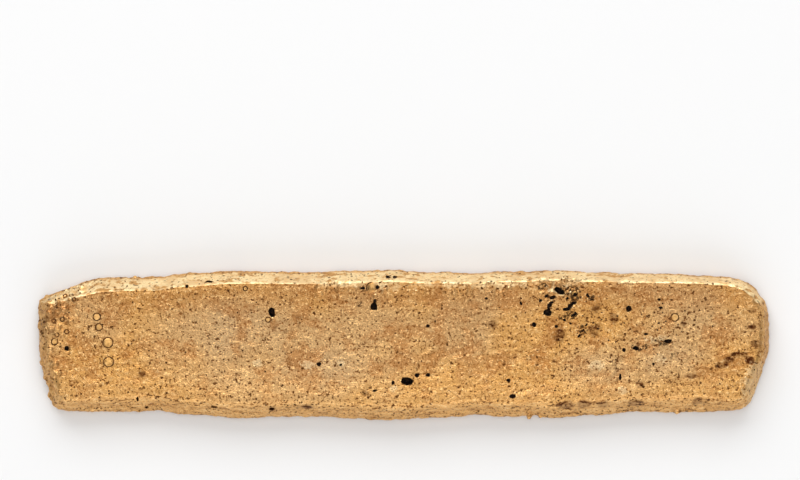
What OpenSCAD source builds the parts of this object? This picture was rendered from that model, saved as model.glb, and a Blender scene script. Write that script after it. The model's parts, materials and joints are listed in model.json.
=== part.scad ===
// Hand-cast gold bar, lying on its broad back face.
// It is one casting: a long blank whose plan tapers a little towards two unlike ends,
// with a rounded foot, drafted sides, a wavy rim that stands up as a lip along the far side,
// an upper face that is sunk along its middle and falls a little towards the ends, and the
// open blowholes that gas left there.
// X runs along the bar, Y across it, and Z up from the face that it lies on.

/* [Bar] */
// Length of the bar, end to end
bar_length = 262; // [220:1:300]
// Width of the bar across its broad face, at the widest place
bar_width = 54; // [46:0.5:64]
// Thickness of the bar, from the face it lies on to the highest place of its rim
bar_thickness = 14; // [11:0.5:20]

/* [Plan outline] */
// How far the far side swells beyond a straight line between its two ends
far_swell = 2.7; // [0:0.1:5]
// How far the near side swells beyond a straight line between its two ends
near_swell = 3.6; // [0:0.1:5]
// Length of the sloping shoulder at the left end of the far side
shoulder_length = 21; // [12:1:30]
// How far that shoulder falls from the far side to the left end
shoulder_fall = 7.5; // [3:0.5:12]
// How far the left end leans in towards the near side
left_end_lean = 5.5; // [2:0.5:9]
// How far the right end leans in towards the near side
right_end_lean = 7.5; // [2:0.5:9]
// Radius of the bend between the shoulder and the far side
shoulder_radius = 30; // [10:1:60]
// How far the foremost place of both ends lies from the middle, towards the near side
nose_offset = 2.2; // [0:0.2:6]
// Radius of the blunt bend at the foremost place of both ends
nose_radius = 20; // [5:1:40]
// Corner radius where the shoulder meets the left end
left_far_radius = 5; // [2:0.5:8]
// Corner radius between the far side and the right end
right_far_radius = 15; // [8:0.5:18]
// Corner radius at the left end of the near side
left_near_radius = 4.5; // [2:0.5:8]
// Corner radius at the right end of the near side
right_near_radius = 7; // [3:0.5:9]

/* [Rim waves] */
// Depth of the long waves in the far side
far_wave_depth = 0.7; // [0:0.1:2]
// Depth of the long waves in the near side
near_wave_depth = 1.1; // [0:0.1:2]
// Depth of the short waves in both long sides
short_wave_depth = 0.7; // [0:0.1:1.2]
// Length of a long wave
long_wave_length = 58; // [35:1:80]
// Length of a short wave
short_wave_length = 19; // [16:0.5:30]
// Length over which the short waves come and go
wave_group_length = 133; // [90:1:200]

/* [Section] */
// Radius of the rounded foot, round the face that the bar lies on
foot_radius = 2.8; // [1:0.1:4]
// How far the far side leans in over its straight height, at its left end
far_left_draft = 3.2; // [0.5:0.1:4]
// How far the far side leans in over its straight height, at its right end
far_right_draft = 1; // [0.5:0.1:4]
// How far the near side leans in over its straight height
near_draft = 3; // [0.5:0.1:4]
// How far both ends lean in over their straight height
end_draft = 1.4; // [0.5:0.1:4]
// Breadth of the rounding from the far side to its lip
far_rim_breadth = 2; // [0.5:0.1:5]
// Breadth of the rounding from the near side into the upper face
near_rim_breadth = 5; // [0.5:0.1:7]
// Breadth of the rounding from both ends into the upper face
end_rim_breadth = 3; // [0.5:0.1:7]
// Height of the rounding from the sides into the upper face
rim_height = 4; // [1:0.1:5]
// How far the lip of the far side stands above the upper face beside it
lip_height = 0.6; // [0:0.1:1.2]
// Breadth of the slope from the lip down to the upper face
lip_breadth = 1.3; // [0.5:0.1:3]
// How far the middle of the upper face is sunk below its rim
face_sink = 1.2; // [0:0.1:2]
// How far the rim falls from the middle of the bar to its ends
end_fall = 1.5; // [0:0.1:2]

/* [Hidden] */

half_length = bar_length / 2;
half_width = bar_width / 2;
// Half the length of the bar's middle line, which stops short of its ends
spine_half = half_length - half_width;
// Height of the straight part of the sides, between the foot and the rounding
side_height = bar_thickness - foot_radius - rim_height;
// How far the far side leans in, on average
mean_far_draft = (far_left_draft + far_right_draft) / 2;
// Half the width of the upper face between its rims, on average
face_half_width = half_width - (mean_far_draft + far_rim_breadth + near_draft + near_rim_breadth) / 2;
// Steps round a corner and along each long side. The near side has as many more steps as the
// shoulder takes, so that the points of the two sides lie across from each other.
arc_steps = 6;
far_steps = 58;
near_steps = far_steps + arc_steps + 1;
foot_steps = 3;
rim_steps = 5;
bubble_facets = 24;
// Where the rings of the upper face lie on the way from its edge to the middle line
face_shares = [0, 0.3, 0.6, 0.85];
// Turn of the waves along each long side, in degrees, so that the two sides differ
far_phase = 40;
near_phase = 25;
// How level the swell of each long side is along its middle, as a power: 2 is a plain bow
far_flatness = 4;
near_flatness = 2;
// How late the sink of the upper face fades out towards the ends, as a power
sink_evenness = 4;

// How wide the mouth of a blowhole is against the bubble that it opened from
mouth_share = 0.9;
// Blowholes: place as shares of the half length and the half width, so that they keep their
// places on the face, then half the length and half the width of the mouth and its turn in
// degrees. Those that overlap make one crooked hole.
blowholes = [
    [-0.360, 0.441, 1.7, 1.1, 100],
    [-0.081, 0.522, 1.4, 1.2, 90],
    [-0.079, 0.589, 0.9, 0.5, 80],
    [0.008, -0.474, 2.1, 1.5, 0],
    [0.036, -0.393, 0.8, 0.6, 0],
    [0.066, -0.390, 0.8, 0.7, 0],
    [0.355, 0.278, 0.9, 0.7, 90],
    [0.392, 0.439, 1.5, 1.2, 0],
    [0.396, 0.515, 1.4, 0.6, 75],
    [0.402, 0.567, 0.9, 0.5, 10],
    [0.405, 0.640, 0.9, 0.8, 0],
    [0.424, 0.726, 2.1, 0.9, -33],
    [0.443, 0.482, 1.3, 0.6, 0],
    [0.453, 0.522, 1.2, 0.7, 65],
    [0.462, 0.561, 1.1, 0.5, 5],
    [0.466, 0.682, 0.8, 0.7, 0],
    [0.296, -0.670, 1.1, 0.7, 0],
    [0.614, 0.493, 1.0, 0.8, 90],
    [0.633, -0.037, 1.1, 0.7, 0],
    [0.720, 0.056, 1.3, 0.6, 0],
    [-0.918, -0.037, 0.9, 0.7, 90],
];

function unit(v) = v / norm(v);

// The points of an arc of radius r that rounds the corner b between a and c
function rounded_corner(a, b, c, r) =
    let (
        to_a = unit(a - b),
        to_c = unit(c - b),
        half_angle = acos(to_a * to_c) / 2,
        middle = b + unit(to_a + to_c) * r / sin(half_angle),
        start = b + to_a * r / tan(half_angle) - middle,
        turn = sign(cross(to_c, to_a)) * (180 - 2 * half_angle)
    )
    [for (i = [0 : arc_steps])
        let (angle = turn * i / arc_steps)
        middle + [
            start.x * cos(angle) - start.y * sin(angle),
            start.x * sin(angle) + start.y * cos(angle)
        ]];

// A wave between 0 and 1
function ripple(turns, phase) = (1 - cos(360 * turns + phase)) / 2;

// How far the waves pull a long side in at x. The short ones come and go along the bar.
function wave(x, depth, phase) =
    depth * ripple(x / long_wave_length, phase) +
    short_wave_depth * ripple(x / short_wave_length, 2 * phase)
        * ripple(x / wave_group_length, 3 * phase);

// The points of a long side from a to b, swollen outwards and waved. The flatness says how
// level the swell is along its middle, and the waves fade out towards the corners.
function long_side(a, b, steps, swell, flatness, depth, phase) =
    let (outward = sign(a.y))
    [for (i = [1 : steps - 1])
        let (
            t = i / steps,
            bulge = 1 - abs(2 * t - 1) ^ flatness,
            p = a + (b - a) * t
        )
        p + [0, outward * (bulge * swell - min(1, 2 * bulge) * wave(p.x, depth, phase))]];

// The corners of the plan, from the left end along the far side and back along the near side
far_corner_y = half_width - far_swell;
near_corner_y = near_swell - half_width;
left_nose = [-half_length, -nose_offset];
left_far = [-half_length, far_corner_y - shoulder_fall];
shoulder = [shoulder_length - half_length, far_corner_y];
right_far = [half_length, far_corner_y];
right_nose = [half_length, -nose_offset];
right_near = [half_length - right_end_lean, near_corner_y];
left_near = [left_end_lean - half_length, near_corner_y];

left_far_arc = rounded_corner(left_nose, left_far, shoulder, left_far_radius);
shoulder_arc = rounded_corner(left_far, shoulder, right_far, shoulder_radius);
right_far_arc = rounded_corner(shoulder, right_far, right_nose, right_far_radius);
right_nose_arc = rounded_corner(right_far, right_nose, right_near, nose_radius);
right_near_arc = rounded_corner(right_nose, right_near, left_near, right_near_radius);
left_near_arc = rounded_corner(right_near, left_near, left_nose, left_near_radius);
left_nose_arc = rounded_corner(left_near, left_nose, left_far, nose_radius);

rough_plan = concat(
    left_far_arc,
    shoulder_arc,
    long_side(shoulder_arc[arc_steps], right_far_arc[0],
        far_steps, far_swell, far_flatness, far_wave_depth, far_phase),
    right_far_arc,
    right_nose_arc,
    right_near_arc,
    long_side(right_near_arc[arc_steps], left_near_arc[0],
        near_steps, near_swell, near_flatness, near_wave_depth, near_phase),
    left_near_arc,
    left_nose_arc
);

// The plan fitted to the bar's width, so that the waves don't change it
plan_far = max([for (p = rough_plan) p.y]);
plan_near = min([for (p = rough_plan) p.y]);
plan = [for (p = rough_plan)
    [p.x, (p.y - (plan_far + plan_near) / 2) * bar_width / (plan_far - plan_near)]];

// The nearest point of the bar's middle line
function spine_point(p) = [max(-spine_half, min(spine_half, p.x)), 0];
// The way from a point of the plan to the middle line
function inward(p) = unit(spine_point(p) - p);
// A size that differs between the near side, the far side and the ends, at a point of the plan
function by_side(p, near_size, far_size, end_size) =
    let (
        farness = (1 - inward(p).y) / 2,
        endness = inward(p).x ^ 2,
        side_size = near_size + (far_size - near_size) * farness
    )
    side_size + (end_size - side_size) * endness;
function far_draft(p) =
    mean_far_draft + (far_right_draft - far_left_draft) * p.x / bar_length;
function draft_at(p) = by_side(p, near_draft, far_draft(p), end_draft);
function rim_breadth_at(p) = by_side(p, near_rim_breadth, far_rim_breadth, end_rim_breadth);
function lip_at(p) = by_side(p, 0, lip_height, 0);

// Height of the upper face: below the lip, sunk along the middle line, and falling towards
// the ends
function face_height(p) =
    let (across = p.y / face_half_width, along = p.x / half_length)
    bar_thickness - lip_height - end_fall * along ^ 2
        - face_sink * max(0, 1 - across ^ 2) * max(0, 1 - along ^ sink_evenness);

// The rings of the bar, from the face it lies on up to the middle of its upper face
function foot_ring(angle) =
    [for (p = plan)
        let (q = p + inward(p) * foot_radius * (1 - sin(angle)))
        [q.x, q.y, foot_radius * (1 - cos(angle))]];
// The rounding leaves the side along its lean and comes out level: it is the curve between
// the two that is drawn by the corner in which they would meet.
function rim_ring(t) =
    [for (p = plan)
        let (
            breadth = rim_breadth_at(p),
            corner = min(breadth, draft_at(p) * rim_height / side_height),
            q = p + inward(p) * (draft_at(p) + 2 * t * (1 - t) * corner + t ^ 2 * breadth)
        )
        [q.x, q.y, face_height(q) + lip_at(p) - rim_height * (1 - t) ^ 2]];
function face_ring(share) =
    [for (p = plan)
        let (
            edge = p + inward(p) * (draft_at(p) + rim_breadth_at(p) + lip_breadth),
            q = edge + (spine_point(p) - edge) * share
        )
        [q.x, q.y, face_height(q)]];

rings = concat(
    [for (i = [0 : foot_steps]) foot_ring(90 * i / foot_steps)],
    [for (i = [0 : rim_steps]) rim_ring(i / rim_steps)],
    [for (share = face_shares) face_ring(share)]
);

// A solid skinned over a stack of rings. Below it is closed by one flat face, and above by a
// strip that joins the two sides of the last ring across the middle line.
module loft(stack) {
    count = len(stack[0]);
    last = (len(stack) - 1) * count;
    // The left end's foremost point, which is the middle of the plan's last arc
    left_tip = count - 1 - arc_steps / 2;
    function far_way(i) = last + (left_tip + i) % count;
    function near_way(i) = last + (left_tip - i + count) % count;
    polyhedron(
        points = [for (ring = stack) for (p = ring) p],
        faces = concat(
            [[for (i = [count - 1 : -1 : 0]) i]],
            [for (level = [0 : len(stack) - 2])
                for (i = [0 : count - 1])
                    let (low = level * count, high = low + count, next = (i + 1) % count)
                    for (triangle = [
                        [low + i, high + next, high + i],
                        [low + i, low + next, high + next]
                    ]) triangle],
            [for (i = [0 : count / 2 - 1])
                if (i == 0) [far_way(0), far_way(1), near_way(1)]
                else if (i == count / 2 - 1) [far_way(i), far_way(i + 1), near_way(i)]
                else [far_way(i), far_way(i + 1), near_way(i + 1), near_way(i)]]
        )
    );
}

// The bubble that a blowhole opened from, sunk below the upper face so that its mouth there
// has the size given
module bubble(hole) {
    place = [hole[0] * half_length, hole[1] * half_width];
    radii = [hole[2], hole[3], (hole[2] + hole[3]) / 2] / mouth_share;
    translate([place.x, place.y, face_height(place) - radii.z * sqrt(1 - mouth_share ^ 2)])
        rotate(hole[4])
            scale(radii)
                sphere(r = 1, $fn = bubble_facets);
}

module gold_bar() {
    color([0.80, 0.60, 0.34])
        difference() {
            loft(rings);
            for (hole = blowholes) bubble(hole);
        }
}

gold_bar();
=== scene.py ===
# %% [markdown]
# A hand-cast gold bar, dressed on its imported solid.
# The bar was poured in one go into an open mould and never worked again, so it has no parts to
# put together. All of its character is in the skin: a sandy grain, gas holes with black throats,
# blisters that froze before they burst, and brown stains. The solid gives the true outline, and
# this lesson gives it that skin.

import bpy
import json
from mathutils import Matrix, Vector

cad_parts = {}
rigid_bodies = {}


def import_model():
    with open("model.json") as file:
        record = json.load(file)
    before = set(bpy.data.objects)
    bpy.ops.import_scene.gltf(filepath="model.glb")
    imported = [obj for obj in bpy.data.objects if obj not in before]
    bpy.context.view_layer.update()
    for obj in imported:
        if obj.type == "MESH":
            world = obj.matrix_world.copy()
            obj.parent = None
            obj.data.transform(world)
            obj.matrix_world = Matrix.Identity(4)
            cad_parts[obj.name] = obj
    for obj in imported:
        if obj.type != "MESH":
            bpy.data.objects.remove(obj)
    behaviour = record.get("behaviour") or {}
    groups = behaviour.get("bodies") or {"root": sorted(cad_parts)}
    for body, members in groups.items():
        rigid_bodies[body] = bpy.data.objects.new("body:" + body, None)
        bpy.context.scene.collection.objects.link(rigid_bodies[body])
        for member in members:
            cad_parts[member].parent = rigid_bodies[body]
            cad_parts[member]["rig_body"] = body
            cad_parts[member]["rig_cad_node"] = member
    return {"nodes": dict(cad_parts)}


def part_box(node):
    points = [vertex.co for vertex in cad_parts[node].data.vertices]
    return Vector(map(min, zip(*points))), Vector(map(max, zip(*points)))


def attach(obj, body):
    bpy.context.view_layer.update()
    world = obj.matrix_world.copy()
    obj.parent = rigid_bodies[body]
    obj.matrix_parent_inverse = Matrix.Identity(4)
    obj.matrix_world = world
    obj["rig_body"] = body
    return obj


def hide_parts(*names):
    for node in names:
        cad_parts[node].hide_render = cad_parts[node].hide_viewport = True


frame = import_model()
print("solids:", *frame["nodes"])

# %% [markdown]
# Everything is in metres, in the frame of the solid: X along the bar, Y across it, and Z up from
# the face that it lies on. The box of the solid is kept, because the finished skin may not grow
# past it. Sizes below are written in millimetres, as a founder would say them.

# %% Measure the frame
import json
import math
import random

import bpy
from mathutils import Vector

MM = 0.001
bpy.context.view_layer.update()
bar_low, bar_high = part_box("gold_bar")
bar_size = bar_high - bar_low
print("bar, mm:", [round(side / MM, 1) for side in bar_size])

# %% [markdown]
# The blank is a copy of the solid. Its mesh is loose triangles, long and thin on the flat faces,
# so the copy is merged before anything else is done to it. Operators act on whatever is selected,
# and the solid is selected after loading, so each step first selects the object that it works on.

# %% Copy the solid
MERGE_DISTANCE = 0.001 * MM


def select_only(piece):
    """Makes a piece the only one that is selected, and the active one."""
    bpy.ops.object.select_all(action="DESELECT")
    piece.select_set(True)
    bpy.context.view_layer.objects.active = piece


def copy_of_node(node, name):
    """A copy of a solid's mesh as a new piece, merged and free of the frame."""
    select_only(frame["nodes"][node])
    bpy.ops.object.duplicate()
    copy = bpy.context.active_object
    bpy.ops.object.parent_clear(type="CLEAR_KEEP_TRANSFORM")
    copy.name = copy.data.name = name
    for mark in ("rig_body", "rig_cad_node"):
        del copy[mark]
    copy.data.materials.clear()
    bpy.ops.mesh.customdata_custom_splitnormals_clear()
    bpy.ops.object.mode_set(mode="EDIT")
    bpy.ops.mesh.select_all(action="SELECT")
    bpy.ops.mesh.remove_doubles(threshold=MERGE_DISTANCE)
    bpy.ops.object.mode_set(mode="OBJECT")
    return copy


bar = copy_of_node("gold_bar", "cast_bar")
print("merged copy:", len(bar.data.polygons), "faces")

# %% [markdown]
# Where the mould was too full, beads of metal ran over its edge and froze there. They are balls
# set half into the edges of the blank. One ball is modelled and copied, each copy with its own
# mesh and size. A rougher ball is kept beside it for the pores, of which there are hundreds.

# %% Set the run-over beads
# Place of each bead in millimetres, then its radius
BEADS = [
    (-96.4, 24.4, 4.0, 0.9),
    (-111.8, -23.0, 3.5, 1.0),
    (-67.7, -24.2, 3.0, 1.1),
    (44.9, -25.8, 3.2, 1.1),
    (48.8, -25.4, 3.0, 1.2),
    (98.0, -23.6, 3.4, 1.2),
]


def pattern(name, detail):
    """A ball of radius 1 to make copies of."""
    bpy.ops.mesh.primitive_ico_sphere_add(subdivisions=detail, radius=1.0)
    bpy.context.active_object.name = name
    return bpy.context.active_object


round_ball, rough_ball = pattern("round_ball", 2), pattern("rough_ball", 1)


def ball(place, radii, turn=0.0, like=round_ball):
    """A copy of a pattern ball with three radii of its own, at a place on the bar."""
    copy = like.copy()
    copy.data = like.data.copy()
    copy.location, copy.scale, copy.rotation_euler.z = place, radii, turn
    bpy.context.scene.collection.objects.link(copy)
    return copy


beads = [ball(Vector((x, y, z)) * MM, (radius * MM,) * 3) for x, y, z, radius in BEADS]
print("beads:", len(beads))

# %% [markdown]
# Gas left the metal as froth at the left end, and beside the lip along the middle of the bar.
# Balls of many sizes are strewn there by chance and sunk into the skin. They and the beads are
# joined to the blank, and a voxel remesh melts all of it into one even net of small squares, which
# can be pushed about.

# %% Melt the beads and the froth into it
SKIN_GRID = 0.62 * MM
# Places and radii in millimetres. The froth ends at a line that slants away on the far half
FROTH_EDGE, FROTH_SLANT = -124.0, 0.35
FROTH_LOWEST, FROTH_NEAREST = 4.0, -15.0
FROTH_SEED, FROTH_COUNT, FROTH_RADII, FROTH_SINK = 3, 150, (0.6, 1.5), 0.35
LIP_STRIP_LENGTH, LIP_STRIP_WIDTH, LIP_STRIP_LOWEST = (-32.0, 64.0), (17.5, 23.0), 12.0
LIP_COUNT, LIP_RADII, LIP_SINK = 80, (0.8, 1.6), 0.62


def join(pieces, name):
    """Joins several pieces into one and names it."""
    bpy.ops.object.select_all(action="DESELECT")
    for piece in pieces:
        piece.select_set(True)
    bpy.context.view_layer.objects.active = pieces[0]
    bpy.ops.object.join()
    joined = bpy.context.active_object
    bpy.ops.object.transform_apply(location=True, rotation=True, scale=True)
    joined.name = joined.data.name = name
    return joined


def within(value, span):
    """Whether a value lies between the two ends of a span."""
    return span[0] < value < span[1]


def left_of(x, y, edge):
    """Whether a place is left of a line that slants as the edge of the froth does."""
    return x < edge + FROTH_SLANT * max(0.0, y)


def in_froth(place):
    """The left end, from its far corner to below its middle."""
    x, y, z = place / MM
    return z > FROTH_LOWEST and y > FROTH_NEAREST and left_of(x, y, FROTH_EDGE)


def beside_lip(place):
    """The strip of the upper face beside the lip, along the middle of the bar."""
    x, y, z = place / MM
    return z > LIP_STRIP_LOWEST and within(y, LIP_STRIP_WIDTH) and within(x, LIP_STRIP_LENGTH)


def strew(piece, count, seed, accept):
    """Points strewn by chance over the skin, with their normals, where a test accepts them."""
    chance = random.Random(seed)
    faces = [face for face in piece.data.polygons if accept(face.center)]
    areas = [face.area for face in faces]
    for face in chance.choices(faces, weights=areas, k=count):
        corners = [piece.data.vertices[index].co for index in face.vertices]
        shares = [chance.random() for _ in corners]
        point = sum((corner * share for corner, share in zip(corners, shares)), Vector()) / sum(shares)
        yield point, face.normal.copy(), chance


def bubbles(count, radii, sink, accept):
    """Balls strewn over a part of the skin and sunk into it by a share of their radius."""
    for point, normal, chance in strew(bar, count, FROTH_SEED, accept):
        radius = chance.uniform(*radii) * MM
        yield ball(point - normal * sink * radius, (radius,) * 3)


froth = [*bubbles(FROTH_COUNT, FROTH_RADII, FROTH_SINK, in_froth),
         *bubbles(LIP_COUNT, LIP_RADII, LIP_SINK, beside_lip)]
bar = join([bar, *beads, *froth], "cast_bar")
bar.data.remesh_voxel_size = SKIN_GRID
bpy.ops.object.voxel_remesh()
print("even net:", len(bar.data.polygons), "squares")

# %% [markdown]
# Nobody sees the face that the bar lies on, and it is flat, so its many squares are wasted there.
# They are deleted, and the edge that they leave is filled with one flat face.

# %% Lay a plain flat face underneath
UNDERSIDE_HEIGHT, FACING_DOWN = 0.25 * MM, -0.9


def select_faces(piece, wanted):
    """Opens a piece for editing with only the wanted faces selected."""
    select_only(piece)
    bpy.ops.object.mode_set(mode="EDIT")
    bpy.ops.mesh.select_mode(type="FACE")
    bpy.ops.mesh.select_all(action="DESELECT")
    bpy.ops.object.mode_set(mode="OBJECT")
    for face in piece.data.polygons:
        face.select = wanted(face)
    bpy.ops.object.mode_set(mode="EDIT")


select_faces(bar, lambda face: face.center.z < UNDERSIDE_HEIGHT and face.normal.z < FACING_DOWN)
bpy.ops.mesh.delete(type="FACE")
bpy.ops.mesh.select_mode(type="EDGE")
bpy.ops.mesh.select_non_manifold(extend=False)
bpy.ops.mesh.edge_face_add()
bpy.ops.transform.resize(value=(1.0, 1.0, 0.0), center_override=(0.0, 0.0, 0.0))
bpy.ops.object.mode_set(mode="OBJECT")
print("after the underside:", len(bar.data.polygons), "faces")

# %% [markdown]
# Metal that sets in a rough mould is uneven at every scale, but not in the same way everywhere.
# Vertex groups say where each noise will act, so that the foot stays flat and the lumps of the rim
# stay there. How much the skin leans, and where the far side and its lip are scuffed and painted pale
# as a highlight, is also kept as a number on each vertex, because the finish of the gold asks for it
# later.

# %% Say where the skin is rough
FOOT_FADE = (0.4 * MM, 2.0 * MM)
RIM_FADE = (0.68, 0.985)
# Skin facing the far side is painted pale there as a highlight, where it is also scuffed
FAR_LIT_WEAR = (0.1, 0.5)
FAR_PLACE = (12.0 * MM, 16.0 * MM)
LIT_WEAR_HEIGHT = (2.5 * MM, 6.5 * MM)
FROTH_LIT_WEAR, FROTH_PLACE = 0.45, (18.0 * MM, 22.0 * MM)
LIP_MIDDLE, LIP_REACH = 16.0 * MM, (40.0 * MM, 60.0 * MM)


def fade(value, start, end):
    """0 before start, 1 after end and smooth between them."""
    share = min(1.0, max(0.0, (value - start) / (end - start)))
    return share * share * (3.0 - 2.0 * share)


def weight_group(piece, name, weight_of):
    """A vertex group whose weights come from a function of each vertex."""
    group = piece.vertex_groups.new(name=name)
    for vertex in piece.data.vertices:
        group.add([vertex.index], weight_of(vertex), "REPLACE")
    return name


def above_foot(vertex):
    """0 at the foot and 1 a little above it."""
    return fade(vertex.co.z, *FOOT_FADE)


def on_rim(vertex):
    """High on the sides and the rounding, where the surface leans."""
    return above_foot(vertex) * (1.0 - fade(vertex.normal.z, *RIM_FADE))


def store(piece, name, values):
    """Keeps a number on each vertex, where a material can read it by name."""
    piece.data.attributes.new(name, "FLOAT", "POINT").data.foreach_set("value", values)


def on_far_side(vertex):
    """Where the far side and its lip are scuffed and painted pale as a highlight, and a little of the
    froth beside the lip.
    """
    x, y, z = vertex.co
    # Skin facing the far side gets a pale painted highlight, besides its scuffs
    far = fade(vertex.normal.y, *FAR_LIT_WEAR) * fade(y, *FAR_PLACE)
    beside = FROTH_LIT_WEAR * fade(y, *FROTH_PLACE) * (1.0 - fade(abs(x - LIP_MIDDLE), *LIP_REACH))
    return max(far, beside) * fade(z, *LIT_WEAR_HEIGHT)


store(bar, "wear_and_highlight", [on_far_side(vertex) for vertex in bar.data.vertices])
store(bar, "lean", [on_rim(vertex) for vertex in bar.data.vertices])
skin = weight_group(bar, "skin", above_foot)
rim = weight_group(bar, "rim", on_rim)
print("groups:", [group.name for group in bar.vertex_groups])

# %% [markdown]
# Displace modifiers move the skin along its normals by procedural noise: wide swells from the bed
# of the mould, lumps where the metal ran in tongues, lumps along the rim and a coarse grain. Each
# modifier is added, set up and applied at once, so that the finished bar is a plain mesh.

# %% Push the skin about
# Name, size of the lumps and depth in millimetres, the group where it acts, and its octaves
ROUGHNESS = [
    ("mould_swells", 17.0, 0.5, skin, 1),
    ("metal_tongues", 5.0, 0.4, skin, 2),
    ("rim_lumps", 3.4, 0.9, rim, 2),
    ("coarse_grain", 1.5, 0.5, skin, 1),
]


def apply_modifier(piece, kind, **settings):
    """Adds a modifier to a piece, sets it up and applies it."""
    select_only(piece)
    modifier = piece.modifiers.new(kind.lower(), kind)
    for name, value in settings.items():
        setattr(modifier, name, value)
    bpy.ops.object.modifier_apply(modifier=modifier.name)


def roughen(piece, name, size, depth, group="", octaves=2):
    """Moves the skin by a cloudy noise of a given size and depth."""
    texture = bpy.data.textures.new(name, "CLOUDS")
    texture.noise_scale = size * MM
    texture.noise_depth = octaves
    apply_modifier(piece, "DISPLACE", texture=texture, texture_coords="LOCAL", direction="NORMAL",
                   strength=depth * MM, vertex_group=group)


for row in ROUGHNESS:
    roughen(bar, *row)
print("roughened by:", *(name for name, *_ in ROUGHNESS))

# %% [markdown]
# The lumps may not make the bar larger than its solid, nor smaller. So the rough skin is scaled
# back, by a hair on each axis, to the box that the solid has.

# %% Fit the skin to the box of the solid
import numpy as np


def coordinates(piece):
    """All vertex coordinates of a piece as an array."""
    flat = np.empty(len(piece.data.vertices) * 3)
    piece.data.vertices.foreach_get("co", flat)
    return flat.reshape(-1, 3)


def fit_to_box(piece, low, high):
    """Moves and scales a piece so that it fills a box."""
    points = coordinates(piece)
    own_low, own_high = Vector(points.min(axis=0)), Vector(points.max(axis=0))
    scale = Vector(room / own for room, own in zip(high - low, own_high - own_low))
    select_only(piece)
    piece.scale = scale
    piece.location = low - own_low * scale
    bpy.ops.object.transform_apply(location=True, rotation=False, scale=True)
    return scale


print("scaled by", [round(share, 4) for share in fit_to_box(bar, bar_low, bar_high)])

# %% [markdown]
# Blisters are gas bubbles that rose to the skin and froze there: a smooth shiny cap inside a dark
# ring. Each cap is made as by hand. Its patch of skin is selected and smoothed, and the middle is
# then pulled up with a round proportional falloff. The ring is cut later, with the holes.

# %% Raise the blisters
from mathutils.kdtree import KDTree

# Place on the face in millimetres, radius of the ring and height of the cap
BLISTERS = [
    (-105.5, 1.0, 1.8, 0.55),
    (-105.2, -5.9, 1.75, 0.55),
    (-108.7, 6.5, 1.25, 0.35),
    (-109.4, 10.2, 1.3, 0.3),
    (-124.5, 1.3, 1.1, 0.35),
    (-114.0, 20.2, 1.6, 0.4),
    (-56.4, 20.3, 0.75, 0.2),
    (-48.3, 9.2, 0.9, 0.3),
    (-11.5, 20.7, 1.75, 0.9),
    (61.0, 18.7, 1.1, 0.4),
    (96.8, 10.0, 1.35, 0.25),
    (126.2, -5.0, 1.4, 0.3),
]
SMOOTHING_SHARE, SMOOTHING_ROUNDS = 0.5, 12
DROP_HEIGHT = 100.0 * MM


def skin_at(piece, x, y):
    """The point of the skin under a place on the face, seen from above."""
    found, point, _, _ = piece.ray_cast(Vector((x * MM, y * MM, DROP_HEIGHT)), (0.0, 0.0, -1.0))
    if not found:
        raise ValueError(f"no skin under {x}, {y}")
    return point


def select_vertices(piece, indices):
    """Opens a piece for editing with only some vertices selected."""
    select_only(piece)
    bpy.ops.object.mode_set(mode="EDIT")
    bpy.ops.mesh.select_mode(type="VERT")
    bpy.ops.mesh.select_all(action="DESELECT")
    bpy.ops.object.mode_set(mode="OBJECT")
    for index in indices:
        piece.data.vertices[index].select = True
    bpy.ops.object.mode_set(mode="EDIT")


tree = KDTree(len(bar.data.vertices))
for index, place in enumerate(coordinates(bar)):
    tree.insert(place, index)
tree.balance()
seats = []
for x, y, radius, height in BLISTERS:
    middle = skin_at(bar, x, y)
    patch = [index for _, index, _ in tree.find_range(middle, radius * MM)]
    normals = [bar.data.vertices[index].normal for index in patch]
    seats.append((middle, sum(normals, Vector()).normalized(), radius))
    select_vertices(bar, patch)
    bpy.ops.mesh.vertices_smooth(factor=SMOOTHING_SHARE, repeat=SMOOTHING_ROUNDS)
    bpy.ops.object.mode_set(mode="OBJECT")
    select_vertices(bar, [tree.find(middle)[1]])
    bpy.ops.transform.translate(value=(0.0, 0.0, height * MM), use_proportional_edit=True,
                                proportional_edit_falloff="SPHERE", proportional_size=radius * MM)
    bpy.ops.object.mode_set(mode="OBJECT")
print("blisters:", len(BLISTERS))
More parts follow.
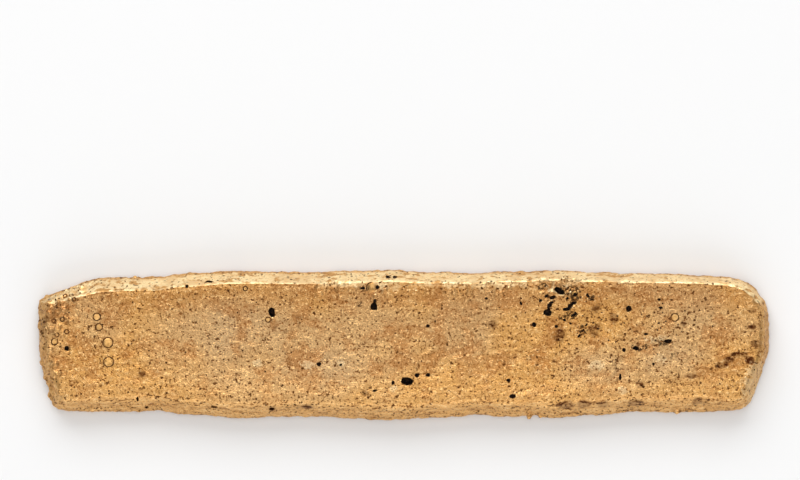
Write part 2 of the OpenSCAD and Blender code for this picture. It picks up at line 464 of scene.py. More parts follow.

# %% [markdown]
# Blowholes are bubbles that did burst. From above they are black, because the cavity is wider than
# its mouth and lies in shade, and that shade is painted black into the throats. Eggs are placed so that
# the skin cuts them above the middle, fused by a fine remesh where they meet, made ragged with a little
# noise, and cut out with a Boolean modifier. The cut faces keep the cutter's material, which is how the
# throats get their painted black shade. On the near side, where hands and cloths have rubbed, they
# hold brown dirt in its place.

# %% Cut the blowholes
# Place in millimetres, half the length and half the width of the mouth, and its turn in degrees
BLOWHOLES = [
    (-47.1, 11.9, 1.7, 1.1, 100), (-10.6, 14.1, 1.4, 1.2, 90), (-10.3, 15.9, 0.9, 0.5, 80),
    (1.0, -12.8, 2.1, 1.5, 0), (4.7, -10.6, 0.8, 0.6, 0), (8.6, -10.5, 0.8, 0.7, 0),
    (46.5, 7.5, 0.9, 0.7, 90), (51.3, 11.9, 1.5, 1.2, 0), (51.9, 13.9, 1.4, 0.6, 75),
    (52.6, 15.3, 0.9, 0.5, 10), (53.0, 17.2, 0.9, 0.8, 0), (55.5, 19.6, 2.1, 0.9, -33),
    (58.0, 13.0, 1.3, 0.6, 0), (59.3, 14.1, 1.2, 0.7, 65), (60.5, 15.1, 1.1, 0.5, 5),
    (61.1, 18.4, 0.8, 0.7, 0), (38.8, -18.1, 1.1, 0.7, 0), (80.4, 13.3, 1.0, 0.8, 90),
    (82.9, -1.0, 1.1, 0.7, 0), (94.3, 1.5, 1.3, 0.6, 0), (-120.3, -1.0, 0.9, 0.7, 90),
    (51.0, 17.7, 0.7, 0.6, 0), (48.9, 16.0, 0.8, 0.5, 25), (58.4, 16.9, 0.7, 0.5, 40),
    (60.4, 10.7, 1.0, 0.5, 30), (61.3, 11.5, 0.7, 0.5, 110), (57.4, 9.1, 0.7, 0.5, -30),
    (59.6, 7.8, 0.5, 0.5, 0), (54.5, 6.8, 0.7, 0.6, 0), (41.8, 15.1, 1.0, 0.4, -70),
    (62.6, 3.4, 0.8, 0.5, 56), (64.0, 5.4, 0.9, 0.35, 56), (65.2, 7.3, 0.7, 0.3, 56),
    (65.8, 17.7, 0.9, 0.5, -40), (67.6, 16.3, 0.7, 0.3, 0), (37.4, -12.4, 0.8, 0.6, 0),
    (91.2, 16.4, 0.6, 0.5, 0), (91.8, 13.5, 0.8, 0.5, 0), (78.6, -1.6, 0.7, 0.7, 0),
    (86.5, 4.1, 0.9, 0.4, 0), (89.1, -6.6, 0.5, 0.5, 0), (77.3, -11.2, 1.2, 0.5, 90),
    (-3.8, -13.4, 0.9, 0.6, 80), (-10.3, -16.1, 0.9, 0.45, 10), (-30.2, -6.7, 0.9, 0.8, 0),
    (-22.4, -7.0, 0.6, 0.5, 0), (29.5, 16.7, 0.6, 0.5, 0), (8.7, 6.9, 0.8, 0.65, 0),
    (-9.4, 20.8, 0.6, 0.6, 0), (-14.6, 20.5, 0.8, 0.5, 0), (-5.5, 24.1, 0.7, 1.1, 20),
    (-3.1, 24.2, 0.7, 1.0, 0), (-77.3, 21.0, 0.7, 0.6, 0), (-94.9, -18.9, 1.0, 0.4, 90),
    (-91.9, -22.0, 0.6, 0.6, 0), (-47.1, -22.4, 0.9, 0.8, 0), (-67.5, -22.0, 1.1, 0.5, 0),
    (-69.3, 22.6, 1.2, 0.5, 0),
]
MOUTH_SHARE, DEPTH_SHARE = 0.8, 0.8
# How far aside of a hole, in millimetres, the height of the skin is taken
MOUTH_REACH = (-3.0, -1.5, 0.0, 1.5, 3.0)
HOLE_GRID = 0.3 * MM
RAGGED_SIZE, RAGGED_DEPTH = 0.9, 0.35
# Nearer than this, in millimetres, the throats hold brown dirt in place of the painted black shade
RUBBED_SIDE = -18.5


def mouth_height(piece, x, y):
    """How high the skin is beside a place, where the solid may already have a hole."""
    heights = [skin_at(piece, x + aside, y).z for aside in MOUTH_REACH]
    return sorted(heights)[-2]


def bubble(piece, x, y, half_length, half_width, turn):
    """An egg below the skin whose mouth there has the given half length and half width."""
    middle = Vector((x, y, mouth_height(piece, x, y) / MM)) * MM
    depth = DEPTH_SHARE * (half_length + half_width) / MOUTH_SHARE * MM
    radii = half_length / MOUTH_SHARE * MM, half_width / MOUTH_SHARE * MM, depth
    sink = depth * math.sqrt(1.0 - MOUTH_SHARE ** 2)
    return ball(middle - Vector((0.0, 0.0, sink)), radii, math.radians(turn))


def finish_name(name):
    """The Blender material of that name, made when it is first asked for."""
    return bpy.data.materials.get(name) or bpy.data.materials.new(name)


gold, throat_shade, rust = (finish_name(name) for name in ("cast_gold", "painted_throat_shade", "pore_dirt"))
bar.data.materials.append(gold)


def cut(piece, cutter, finish):
    """Cuts one mesh out of a piece, and gives the cut faces a finish."""
    cutter.data.materials.clear()
    cutter.data.materials.append(finish)
    apply_modifier(piece, "BOOLEAN", operation="DIFFERENCE", object=cutter, solver="MANIFOLD",
                   material_mode="TRANSFER")
    bpy.data.objects.remove(cutter)


def cut_blowholes(piece, rows, finish):
    """Fuses the eggs of some blowholes, makes them ragged and cuts them out."""
    holes = join([bubble(piece, *row) for row in rows], "holes")
    holes.data.remesh_voxel_size = HOLE_GRID
    bpy.ops.object.voxel_remesh()
    roughen(holes, "ragged_mouths", RAGGED_SIZE, RAGGED_DEPTH)
    cut(piece, holes, finish)


# The throats of these are painted black, as the shade deep in them
cut_blowholes(bar, [row for row in BLOWHOLES if row[1] > RUBBED_SIDE], throat_shade)
cut_blowholes(bar, [row for row in BLOWHOLES if row[1] <= RUBBED_SIDE], rust)
print("after the blowholes:", len(bar.data.polygons), "faces")

# %% [markdown]
# The ring round a blister is a fine groove. A thin torus, tipped to lie in the skin, cuts it. The
# froth has a few such rings too, smaller ones, between its middle and the far corner.

# %% Cut the blister rings
RING_THICKNESS, RING_SIDES, RING_FACETS = 0.28 * MM, 20, 6
# Sizes and places of the small rings in millimetres
FROTH_RINGS, FROTH_RING_SEED, FROTH_RING_RADII = 10, 5, (0.5, 0.9)
RING_TRIES, RING_CLEARANCE, RING_FACING = 120, 0.7, 0.4
RING_LOWEST, RING_STRIP, RING_EDGE = 8.0, (3.0, 19.0), -121.0


def ring(middle, normal, radius):
    """A thin torus that lies in the skin."""
    tip = Vector((0, 0, 1)).rotation_difference(normal).to_euler()
    bpy.ops.mesh.primitive_torus_add(major_radius=radius * MM, minor_radius=RING_THICKNESS,
                                     major_segments=RING_SIDES, minor_segments=RING_FACETS,
                                     location=middle, rotation=tip)
    return bpy.context.active_object


def in_froth_face(place):
    """The far half of the froth where it faces up, with a margin round it."""
    x, y, z = place / MM
    return z > RING_LOWEST and within(y, RING_STRIP) and left_of(x, y, RING_EDGE)


for point, normal, chance in strew(bar, RING_TRIES, FROTH_RING_SEED, in_froth_face):
    radius = chance.uniform(*FROTH_RING_RADII)
    room = radius + RING_CLEARANCE
    clear = all((point - middle).length > (room + other) * MM for middle, _, other in seats)
    if normal.z > RING_FACING and clear and len(seats) < len(BLISTERS) + FROTH_RINGS:
        seats.append((point, normal, radius))
print("rings:", len(seats))
rings = join([ring(*seat) for seat in seats], "rings")
cut(bar, rings, rust)
print("after the rings:", len(bar.data.polygons), "faces")

# %% [markdown]
# Pores are the smallest holes, a pinprick each. They are strewn by chance over the whole skin,
# thicker where the metal was spongy, with a fixed seed so that the bar is the same each time. Two
# that touch would spoil the cut, so a new one keeps clear of those before it.

# %% Say where the metal is spongy
# Middle of each spongy patch in millimetres, and its two half widths
SPONGY_PATCHES = [(82.0, 3.0, 22.0, 13.0), (58.0, 15.0, 12.0, 9.0)]
SPONGE_FADE = (0.5, 1.3)
LEAST_SPONGE, NEAR_SPONGE, NEAR_BAND = 0.2, 0.5, (10.0, 20.0)


def sponginess(x, y):
    """How likely a pore is at a place in millimetres, from 0 to 1."""
    strongest = NEAR_SPONGE * fade(-y, *NEAR_BAND)
    for middle_x, middle_y, half_length, half_width in SPONGY_PATCHES:
        away = math.hypot((x - middle_x) / half_length, (y - middle_y) / half_width)
        strongest = max(strongest, 1.0 - fade(away, *SPONGE_FADE))
    return LEAST_SPONGE + (1.0 - LEAST_SPONGE) * strongest


print("sponginess in the middle of the bar:", sponginess(0.0, 0.0))

# %% Strew the pores
PORE_COUNT, PORE_SEED, PORE_RADII = 660, 7, (0.22, 0.5)
PORE_FACING, PORE_SINK, PORE_CLEARANCE = -0.5, 0.3, 0.1 * MM
# The strip round the hair crack, in millimetres
CRACK_LENGTH, CRACK_BREADTH = (-93.0, -79.0), (-21.0, -16.5)


def in_crack(place):
    """The strip round the hair crack, which is left free of pores."""
    x, y, _ = place / MM
    return within(x, CRACK_LENGTH) and within(y, CRACK_BREADTH)


chance = random.Random(PORE_SEED)
faces = [face for face in bar.data.polygons if face.normal.z > PORE_FACING and face.material_index == 0]
pore_places = []
while len(pore_places) < PORE_COUNT:
    face = chance.choice(faces)
    radius = chance.uniform(*PORE_RADII) * MM
    if chance.random() > sponginess(face.center.x / MM, face.center.y / MM):
        continue
    if in_crack(face.center):
        continue
    room = radius + PORE_CLEARANCE
    if all((face.center - place).length > room + other for place, other in pore_places):
        pore_places.append((face.center - face.normal * PORE_SINK * radius, radius))
print("pores strewn:", len(pore_places))

# %% [markdown]
# One opening is long: a hair crack, made of slits that follow one another. It is cut together with
# the pores. The wider pores of the spongy metal are painted black inside, as the shade deep in them,
# and all others hold brown dirt, so there are two cuts.

# %% Cut the pores and the crack
# Place of each slit in millimetres, half its length and its turn in degrees
CRACK = [
    (-90.6, -17.7, 1.3, -10), (-87.6, -18.2, 1.4, -8),
    (-84.4, -18.8, 1.5, -13), (-81.2, -19.6, 1.4, -15),
]
CRACK_WIDTH = 0.25 * MM
PORE_FLATNESS = (0.7, 1.0)
# Wider pores this spongy are painted black inside, as painted shade
SHADED_SPONGE, SHADED_RADIUS = 0.62, 0.3 * MM

pores, shaded_pores = [], []
for x, y, half_length, turn in CRACK:
    middle = skin_at(bar, x, y)
    pores.append(ball(middle, (half_length * MM, CRACK_WIDTH, CRACK_WIDTH), math.radians(turn)))
for place, radius in pore_places:
    radii = [radius * chance.uniform(*PORE_FLATNESS) for _ in range(3)]
    pore = ball(place, radii, turn=chance.uniform(0.0, math.tau), like=rough_ball)
    # Those are painted black inside, as the shade deep in them
    shaded = radius > SHADED_RADIUS and sponginess(place.x / MM, place.y / MM) > SHADED_SPONGE
    (shaded_pores if shaded else pores).append(pore)
print("pores:", len(pores), "brown and", len(shaded_pores), "shaded")
cut(bar, join(pores, "pores"), rust)
cut(bar, join(shaded_pores, "shaded_pores"), throat_shade)
for like in (round_ball, rough_ball):
    bpy.data.objects.remove(like)
print("after the pores:", len(bar.data.polygons), "faces")

# %% [markdown]
# Some marks have places of their own: brown stains, grey bloom, pale ash, and crags of half-open
# bubbles round the large holes. Each kind is a list of soft oval spots, and the strength at each
# vertex is kept as a number, which the finish reads. The shiny blister caps are kept the same way.

# %% Map the stains and the other spots
SPOT_REACH = 1.6
CAP_SHARE = 0.72
# Place of each stain in millimetres, its two half widths and how strong it is
STAINS = [
    (74.8, 9.5, 1.5, 1.7, 1.0), (68.1, 5.4, 2.4, 2.2, 0.9), (68.3, 13.4, 2.0, 1.7, 0.8),
    (99.7, 7.7, 1.0, 0.9, 0.9), (124.7, 12.4, 1.5, 0.9, 0.8), (125.8, 0.6, 1.6, 1.5, 0.9),
    (113.5, -7.0, 2.2, 1.0, 1.2), (116.3, -5.2, 1.9, 1.0, 1.2), (118.6, -3.2, 1.6, 0.9, 1.2),
    (121.2, -3.4, 1.7, 0.9, 1.2), (123.6, -5.2, 1.7, 1.3, 1.3), (124.3, 6.7, 2.1, 0.8, 0.8),
    (103.2, -10.9, 3.0, 0.9, 0.8), (84.3, -13.9, 1.4, 1.2, 0.9), (82.8, -20.6, 2.9, 1.0, 1.0),
    (105.0, -19.8, 2.0, 1.5, 0.9), (108.4, -20.0, 1.2, 1.1, 0.8), (71.1, -21.0, 3.0, 1.3, 0.7),
    (55.7, 3.7, 2.2, 2.5, 0.9), (31.8, 7.6, 1.6, 1.6, 0.8), (58.0, -21.1, 3.2, 1.4, 0.9),
    (65.0, -20.8, 3.0, 1.8, 0.9), (-93.0, -10.1, 1.6, 1.5, 0.7), (-70.0, -3.4, 0.9, 0.8, 0.8),
    (-13.7, -17.1, 1.6, 1.3, 0.9), (-47.1, -22.6, 1.1, 1.1, 0.8), (-35.2, -21.9, 4.0, 1.0, 0.7),
    (-0.7, -2.8, 1.1, 0.7, 0.7), (-41.3, 7.6, 8.0, 4.0, 0.35), (-128.0, 10.0, 5.0, 12.0, 0.45),
]


def spots(points, places):
    """For every point the strongest of several soft oval spots, seen from above."""
    strength = np.zeros(len(points))
    for x, y, half_width, half_height, level in places:
        away = np.hypot((points[:, 0] / MM - x) / half_width, (points[:, 1] / MM - y) / half_height)
        strength = np.maximum(strength, level * np.clip(SPOT_REACH - away, 0.0, 1.0))
    return strength


# Wide patches where the skin has a grey bloom, in the same form
BLOOMS = [
    (-64.0, 6.0, 24.0, 9.0, 1.0), (-28.0, -9.0, 12.0, 7.0, 0.8), (70.0, -8.0, 12.0, 7.0, 1.0),
    (92.0, -2.0, 12.0, 8.0, 0.8), (104.0, 9.0, 12.0, 7.0, 0.7), (-108.0, 8.0, 8.0, 8.0, 0.7),
]
# Small spots where the skin is pale as ash, in the same form
ASH = [
    (-52.0, -6.3, 1.7, 1.3, 1.0), (-34.0, -6.8, 2.6, 1.8, 0.7), (-22.4, -6.2, 1.5, 1.2, 0.9),
    (-3.5, -15.5, 1.5, 1.2, 0.8), (68.6, -6.9, 2.6, 2.0, 0.9), (78.4, -15.8, 1.6, 1.5, 0.8),
    (90.0, 2.5, 4.5, 1.8, 0.6), (92.0, -5.0, 3.0, 2.0, 0.6), (126.0, -14.0, 5.0, 9.0, 0.8),
]
# Places where the metal is craggy with half-open bubbles, in the same form
CRAGS = [
    (60.5, 18.3, 2.6, 3.0, 1.0), (59.8, 10.8, 2.4, 1.5, 1.0), (57.8, 20.3, 2.4, 1.5, 0.9),
    (49.5, 21.0, 2.2, 1.6, 0.8), (66.5, 17.0, 1.7, 1.2, 0.9), (56.5, 9.8, 1.8, 0.9, 0.9),
    (64.0, 5.5, 1.8, 2.0, 0.8), (-15.4, 14.8, 1.4, 1.2, 0.9), (84.5, -0.6, 3.0, 1.6, 0.8),
    (92.0, 1.2, 4.0, 1.6, 0.7), (96.0, -3.5, 3.0, 1.6, 0.6), (-13.0, 20.4, 5.0, 1.6, 0.6),
]

points = coordinates(bar)
caps = [(x, y, radius * CAP_SHARE, radius * CAP_SHARE, 1.0) for x, y, radius, _ in BLISTERS]
SPOTS = {"crag": CRAGS, "stain": STAINS, "ash": ASH, "bloom": BLOOMS, "shine": caps}
for name, places in SPOTS.items():
    store(bar, name, spots(points, places))
store(bar, "sponge", [sponginess(x / MM, y / MM) for x, y, _ in points])
print("spots:", {name: len(places) for name, places in SPOTS.items()})

# %% [markdown]
# The sunken places of the mesh are painted darker, as painted shade. Blender's dirty vertex colours
# measure how sunken the mesh is at each vertex. The few sharp edges of the holes stretch that measure,
# so it is set against its own middle value before the finish paints shade into the sunken places with
# it.

# %% Measure the sunken places for painted shade
DIRT_PERCENTILES = (5, 50)
DIRT_BLUR = 0.5
SMOOTH_ANGLE = math.radians(55.0)

bar.data.color_attributes.new("dirt", "FLOAT_COLOR", "POINT")
select_only(bar)
bpy.ops.object.mode_set(mode="VERTEX_PAINT")
bpy.ops.paint.vertex_color_dirt(blur_strength=DIRT_BLUR, blur_iterations=1, normalize=True)
bpy.ops.object.mode_set(mode="OBJECT")
bpy.ops.object.shade_smooth_by_angle(angle=SMOOTH_ANGLE)
colours = np.empty(len(bar.data.vertices) * 4)
bar.data.color_attributes["dirt"].data.foreach_get("color", colours)
openness = colours[::4]
lowest, usual = np.percentile(openness, DIRT_PERCENTILES)
# How sunken each vertex is, darkened by the finish as painted shade
store(bar, "hollow_shade", np.clip((usual - openness) / (usual - lowest), 0.0, 1.0))
bar.data.color_attributes.remove(bar.data.color_attributes["dirt"])
print("openness, low and usual:", round(float(lowest), 3), round(float(usual), 3))

# %% [markdown]
# Finishes are node trees, and long chains of Math nodes are hard to read. So one small class wraps
# a socket: sums and products of such signals add the Math nodes by themselves, and one method adds
# any other node.

# %% A signal to reckon with
class Signal:
    """A shader socket that can stand in an expression."""

    def __init__(self, tree, socket):
        self.tree, self.socket = tree, socket

    def node(self, kind, settings=None, sockets=None, outlet=0):
        """Adds a node: its type, its settings, then the values or links of its sockets."""
        made = self.tree.nodes.new(kind)
        for name, value in (settings or {}).items():
            setattr(made, name, value)
        for key, value in (sockets or {}).items():
            if isinstance(value, Signal):
                self.tree.links.new(value.socket, made.inputs[key])
            else:
                made.inputs[key].default_value = value
        return Signal(self.tree, made.outputs[outlet]) if made.outputs else None

    def reckon(self, operation, first, second):
        """Adds a Math node on two values."""
        return self.node("ShaderNodeMath", {"operation": operation}, {0: first, 1: second})

    def __add__(self, other):
        return self.reckon("ADD", self, other)

    def __radd__(self, other):
        return self.reckon("ADD", other, self)

    def __sub__(self, other):
        return self.reckon("SUBTRACT", self, other)

    def __rsub__(self, other):
        return self.reckon("SUBTRACT", other, self)

    def __mul__(self, other):
        return self.reckon("MULTIPLY", self, other)

    def __rmul__(self, other):
        return self.reckon("MULTIPLY", other, self)

    def ramp(self, start, end):
        """0 at start, 1 at end and smooth between them."""
        return self.node("ShaderNodeMapRange", {"interpolation_type": "SMOOTHSTEP"},
                         {"Value": self, "From Min": start, "From Max": end})

    def mix(self, first, second, blend="MIX"):
        """The first colour where the signal is 0, and blended with the second where it is 1."""
        return self.node("ShaderNodeMix", {"data_type": "RGBA", "blend_type": blend},
                         {0: self, 6: first, 7: second}, outlet=2)

    def outlet(self, name):
        """Another outlet of the same node."""
        return Signal(self.tree, self.socket.node.outputs[name])


# %% [markdown]
# Every finish here begins with the Object coordinates and ends in one shader. Between them stand
# cloudy noises and the numbers kept on the vertices. Colours are written as a picture shows them.

# %% Short ways to begin and end a finish
def begin(material):
    """Empties a material's tree and gives its Object coordinates."""
    material.use_nodes = True
    material.node_tree.nodes.clear()
    source = material.node_tree.nodes.new("ShaderNodeTexCoord")
    return Signal(material.node_tree, source.outputs["Object"])


def noise(place, size, detail=2.0, roughness=0.55):
    """Cloudy noise with lumps of a size in millimetres, from about 0.2 to 0.8."""
    return place.node("ShaderNodeTexNoise", {}, {"Vector": place, "Scale": 1.0 / (size * MM),
                                                 "Detail": detail, "Roughness": roughness})


def stored(place, name):
    """A number that was kept on the vertices."""
    return place.node("ShaderNodeAttribute", {"attribute_name": name}, outlet=2)


def linear_share(level):
    """One channel of a colour, from 0 to 255 as a picture shows it, as a shader takes it."""
    share = level / 255
    return share / 12.92 if share < 0.04045 else ((share + 0.055) / 1.055) ** 2.4


def linear(red, green, blue):
    """A colour as a picture shows it, in the linear numbers that a shader takes."""
    return linear_share(red), linear_share(green), linear_share(blue), 1.0


def surface(place, **sockets):
    """The shader of a finish. Underscores in the names stand for spaces."""
    named = {key.replace("_", " "): value for key, value in sockets.items()}
    shader = place.node("ShaderNodeBsdfPrincipled", {}, named)
    place.node("ShaderNodeOutputMaterial", {}, {"Surface": shader})


print("middle grey for a shader:", round(linear_share(128), 3))

# %% [markdown]
# Gold with some silver and copper in it, cast rough, is a warm tan rather than a yellow. The colour
# drifts between a cooler and a warmer tan over the bar, with brown smudges. It is painted paler on
# the sloping sides and towards the near side, as a painted reflection of the pale floor. A sandy grain
# of two sizes, drawn out along the bar on the sides, drives the bump and is painted pale on its crests
# and brown in its hollows, as painted highlight and shade. The noises that give all this are made
# first, and the marks of wear and casting, and the painted light, are then worked out from them.

# %% Find the marks on the gold
from types import SimpleNamespace

ALONG_BAR = (0.25, 1.0, 1.0)
CRATER_CELL = 2.0 * MM
# How far a border across the bar wanders, and where the near side and the painted shade by the lip
# begin
WANDER, NEAR_SIDE, LIP_SHADE_SIDE = 12.0 * MM, (-8.0 * MM, -20.0 * MM), (10.0 * MM, 18.0 * MM)


def gold_noises(place):
    """The noises that the gold is made of, from a wide drift to fine sand."""
    stretched = place.node("ShaderNodeMapping", {}, {"Vector": place, "Scale": ALONG_BAR})
    return SimpleNamespace(
        drift=noise(place, 40.0), patch=noise(place, 9.0, 3.0), blot=noise(place, 3.0),
        fold=0.5 * noise(stretched, 3.0) + 0.5 * noise(place, 2.2), flow=noise(stretched, 1.6, 3.0),
        grain=noise(place, 1.0, 3.0, 0.6), sand=noise(place, 0.5, 2.0),
        dots=noise(place, 1.0, 1.0), lace=noise(place, 0.9, 2.0))


def craters(place, noises, lean):
    """Small pits, picked by chance from the cells of a Voronoi texture, more where it is spongy."""
    cells = place.node("ShaderNodeTexVoronoi", {}, {"Vector": place, "Scale": 1.0 / CRATER_CELL})
    lot = cells.outlet("Color").node("ShaderNodeSeparateColor", {}, {0: cells.outlet("Color")})
    chosen = (lot + 0.5 * stored(place, "sponge") + 0.4 * lean).ramp(0.8, 0.9)
    pits = (cells + 0.6 * (noises.grain - 0.5)).ramp(0.27, 0.12)
    return pits * chosen * noises.blot.ramp(0.32, 0.55)


def gold_marks(place, noises):
    """What befell the gold at each place, and where light and shade are painted on it, as strengths
    from 0 to 1 with ragged borders.
    """
    grain, blot, lean = noises.grain - 0.5, noises.blot - 0.5, stored(place, "lean")
    across = place.node("ShaderNodeSeparateXYZ", {}, {"Vector": place}, outlet=1)
    border = across + WANDER * (noises.patch - 0.5)
    mottle = 0.5 + 0.5 * (0.5 * noises.grain + 0.5 * noises.flow).ramp(0.56, 0.44)
    return SimpleNamespace(
        lean=lean, shine=stored(place, "shine"), bloom=stored(place, "bloom"),
        # The strip beside the lip is darkened there as painted shade
        near=border.ramp(*NEAR_SIDE), shade_by_lip=border.ramp(*LIP_SHADE_SIDE) * (1.0 - lean),
        # The far side and its lip, scuffed and painted pale as a highlight
        worn_and_lit=(stored(place, "wear_and_highlight") + 0.8 * blot + 0.6 * grain).ramp(0.25, 0.75),
        stain=(stored(place, "stain") + grain + 1.6 * blot).ramp(0.3, 0.9) * mottle,
        ash=(stored(place, "ash") + 2.0 * grain + blot).ramp(0.4, 0.8),
        crag=(stored(place, "crag") + 1.6 * grain).ramp(0.45, 0.8) * noises.lace.ramp(0.53, 0.43),
        speck=noises.dots.ramp(0.37, 0.28) * noises.patch.ramp(0.36, 0.56),
        # Where the mesh is sunken, darkened as painted shade
        hollow_shade=stored(place, "hollow_shade").ramp(0.3, 1.0), crater=craters(place, noises, lean))


# %% [markdown]
# The marks are then laid over the tan one after another: bloom and smudges first, with painted shade
# beside the lip, then the painted reflection on the sides, then the far side and its lip, scuffed and
# painted pale as a highlight with painted shade in its folds, then the painted highlight on the crests
# of the grain and painted shade in its hollows and in the sunken places of the mesh, then the specks
# and pits, and last the ash, the stains, the crags and the shiny caps.

# %% Finish the gold
COOL_GOLD, WARM_GOLD = linear(196, 154, 103), linear(207, 153, 86)
# The pale colour of the far side is a painted highlight
GREY_BLOOM, RUBBED_HIGHLIGHT = linear(192, 158, 115), linear(252, 226, 174)
# Pale crests are a painted highlight, and the brown of hollows is painted shade
CREST_HIGHLIGHT, HOLLOW_SHADE = linear(235, 190, 130), linear(132, 82, 38)
# The brown in the folds of the far side is painted shade
FOLD_SHADE_BROWN, EDGE_TINT = linear(206, 150, 82), linear(248, 224, 186)
STAIN_TINT, SPECK_BROWN = linear(112, 82, 66), linear(96, 58, 28)
# The pale gold of the sides and the near side is a painted reflection of the floor
# The smudge colour is also the painted shade beside the lip
SMUDGE_AND_LIP_SHADE, SIDE_REFLECTION_GOLD, CAP_GOLD = linear(170, 113, 60), linear(226, 175, 110), linear(220, 170, 100)
ASH_GOLD, LACE_BROWN = linear(234, 208, 162), linear(46, 28, 15)


def gold_relief(noises, marks):
    """The height of the grain, which scuffing has turned into soft folds on the far side."""
    drawn_out = (0.2 + 0.35 * marks.lean) * noises.flow - 0.175 * marks.lean
    relief = 0.5 * noises.grain + 0.3 * noises.sand + drawn_out
    return relief + marks.worn_and_lit * (0.8 * noises.fold - 0.6 * relief - 0.1)


def gold_colour(noises, marks, relief):
    """Tan gold, with each mark, and each painted highlight, reflection and shade, laid over it in turn.
    """
    # Patches of the far side painted paler still, as a painted highlight
    rubbed_and_lit = marks.worn_and_lit * (noises.patch + 0.5 * noises.blot).ramp(0.6, 0.85)
    layers = [
        (0.65 * marks.bloom, GREY_BLOOM),
        (0.65 * noises.patch.ramp(0.52, 0.36), SMUDGE_AND_LIP_SHADE),
        # Painted shade on the face beside the lip
        (0.35 * marks.shade_by_lip, SMUDGE_AND_LIP_SHADE),
        # The sloping sides and the near side painted paler, as a painted reflection of the floor
        (0.35 * marks.near + 0.45 * marks.lean, SIDE_REFLECTION_GOLD),
        # The far side and its lip painted pale, as a painted highlight
        (0.6 * marks.worn_and_lit + 0.4 * rubbed_and_lit, RUBBED_HIGHLIGHT),
        # Painted shade in the folds of the far side
        (0.85 * marks.worn_and_lit * noises.fold.ramp(0.48, 0.4), FOLD_SHADE_BROWN),
        # Painted highlight on the crests of the grain
        (relief.ramp(0.52, 0.64), CREST_HIGHLIGHT),
        # Painted shade in the hollows of the grain
        (relief.ramp(0.48, 0.36) * (1.0 - 0.7 * marks.worn_and_lit), HOLLOW_SHADE),
        # Painted shade in the sunken places of the mesh
        (0.6 * marks.hollow_shade, HOLLOW_SHADE),
        (0.9 * marks.speck, SPECK_BROWN),
        (marks.crater, SPECK_BROWN),
        (0.4 * marks.ash, ASH_GOLD),
    ]
    colour = noises.drift.ramp(0.38, 0.62).mix(COOL_GOLD, WARM_GOLD)
    for strength, tint in layers:
        colour = strength.mix(colour, tint)
    colour = marks.stain.mix(colour, STAIN_TINT, "MULTIPLY")
    colour = (0.9 * marks.crag).mix(colour, LACE_BROWN)
    return (0.6 * marks.shine).mix(colour, CAP_GOLD)


def finish_gold(material):
    """The gold, with its relief as a bump and its shine where the grain stands high."""
    place = begin(material)
    noises = gold_noises(place)
    marks = gold_marks(place, noises)
    relief = gold_relief(noises, marks)
    pits = 0.1 * marks.speck + 0.2 * marks.crater + 0.3 * marks.crag
    height = (1.0 - marks.shine) * (0.4 * relief - pits) * (0.7 + 0.6 * noises.patch)
    bump = place.node("ShaderNodeBump", {}, {"Strength": 1.0, "Distance": MM, "Height": height})
    surface(place, Base_Color=gold_colour(noises, marks, relief), Normal=bump,
            Metallic=1.0 - 0.5 * marks.lean - 0.2 * marks.stain - 0.3 * marks.speck,
            Roughness=0.5 - 0.4 * relief + 0.1 * marks.worn_and_lit + 0.2 * marks.stain,
            Specular_IOR_Level=0.2, Specular_Tint=EDGE_TINT)


finish_gold(gold)
print("gold:", len(gold.node_tree.nodes), "nodes")

# %% [markdown]
# The throats of most blowholes, and the wider pores of the spongy metal, are painted black, as the
# shade deep in them. The other pores, the rings and the throats of the near side hold brown dirt.
# Both are dull, with a fine mottle.

# %% Finish the painted black shade and the brown dirt
def finish_dull_lining(material, dark, light, metallic):
    """A dull lining, mottled between a dark and a light colour, as brown dirt or as painted black
    shade.
    """
    place = begin(material)
    mottle = noise(place, 0.8, 3.0)
    surface(place, Base_Color=mottle.ramp(0.4, 0.65).mix(dark, light), Metallic=metallic, Roughness=0.7)


# Black, as the painted shade deep in the throats and wide pores
finish_dull_lining(throat_shade, linear(16, 11, 8), linear(84, 54, 30), 0.0)
finish_dull_lining(rust, linear(82, 52, 26), linear(160, 108, 56), 0.8)
print("deposits:", throat_shade.name, rust.name)

# %% [markdown]
# The bar lies on a plain pale floor, one flat sheet far larger than the picture. It is a part of the
# stage and not of the bar.

# %% Lay the floor
FLOOR_SIDE = 6.0
FLOOR_COLOUR = linear(236, 236, 236)

bpy.ops.mesh.primitive_plane_add(size=FLOOR_SIDE)
floor = bpy.context.active_object
floor.name = "floor"
floor_finish = finish_name("pale_floor")
surface(begin(floor_finish), Base_Color=FLOOR_COLOUR, Roughness=0.9)
floor.data.materials.append(floor_finish)
print("floor side, m:", FLOOR_SIDE)

# %% [markdown]
# A soft lamp behind the far side rakes over the face, so that each grain shows. A wide one overhead
# gives the metal something bright to mirror, and a weaker one in front lifts the near edge. They
# stand well away, so that the floor is lit evenly. The sky is a plain dim grey.

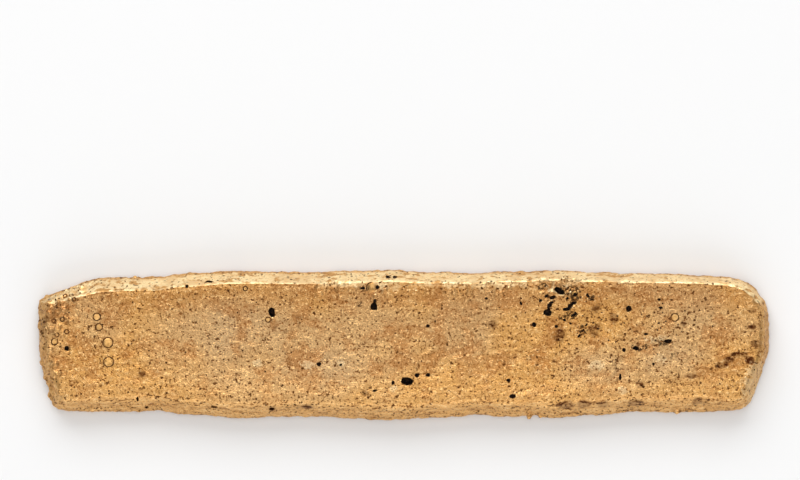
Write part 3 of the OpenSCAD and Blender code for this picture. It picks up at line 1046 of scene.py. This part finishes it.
# %% Light the studio
def lamp(name, place, size, power):
    """A soft rectangular lamp that looks at the bar."""
    bpy.ops.object.light_add(type="AREA", location=place)
    made = bpy.context.active_object
    made.name = name
    made.data.shape = "RECTANGLE"
    made.data.size, made.data.size_y = size
    made.data.energy = power
    made.rotation_euler = (-Vector(place)).to_track_quat("-Z", "Y").to_euler()


# Name, place and two sides in metres, and power in watts
LAMPS = [
    ("key_lamp", (-0.24, 1.92, 1.44), (2.88, 1.44), 46.0),
    ("top_lamp", (0.0, 0.16, 2.72), (2.56, 2.56), 22.0),
    ("fill_lamp", (0.16, -1.44, 0.8), (2.56, 1.28), 15.4),
]
SKY_COLOUR, SKY_LEVEL = (1.0, 1.0, 1.0, 1.0), 0.36

for row in LAMPS:
    lamp(*row)
world = bpy.data.worlds.new("studio")
world.use_nodes = True
sky = world.node_tree.nodes["Background"]
sky.inputs["Color"].default_value = SKY_COLOUR
sky.inputs["Strength"].default_value = SKY_LEVEL
bpy.context.scene.world = world
bpy.context.scene.view_settings.view_transform = "Standard"
print("lamps:", *(name for name, *_ in LAMPS))

# %% [markdown]
# The camera looks straight down on the face. The picture is 800 pixels wide, and the bar is a
# little right of its middle and well below it, so the camera stands over a point beyond the far
# side. It stands far off, so that the face and the foot are drawn to nearly the same scale.

# %% Set up the camera
PICTURE_WIDTH = 286.4 * MM
CAMERA_ASIDE, CAMERA_BEYOND, CAMERA_HEIGHT = -1.25 * MM, 37.6 * MM, 2.4
# The height at which the bar is widest, where the scale of the picture is taken
OUTLINE_HEIGHT = 3.0 * MM

bpy.ops.object.camera_add(location=(CAMERA_ASIDE, CAMERA_BEYOND, CAMERA_HEIGHT))
camera = bpy.context.active_object
camera.data.lens = camera.data.sensor_width * (CAMERA_HEIGHT - OUTLINE_HEIGHT) / PICTURE_WIDTH
bpy.context.scene.camera = camera
print("lens, mm:", round(camera.data.lens, 1))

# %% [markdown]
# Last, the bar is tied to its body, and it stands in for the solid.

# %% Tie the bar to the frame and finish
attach(bar, "root")
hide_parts("gold_bar")
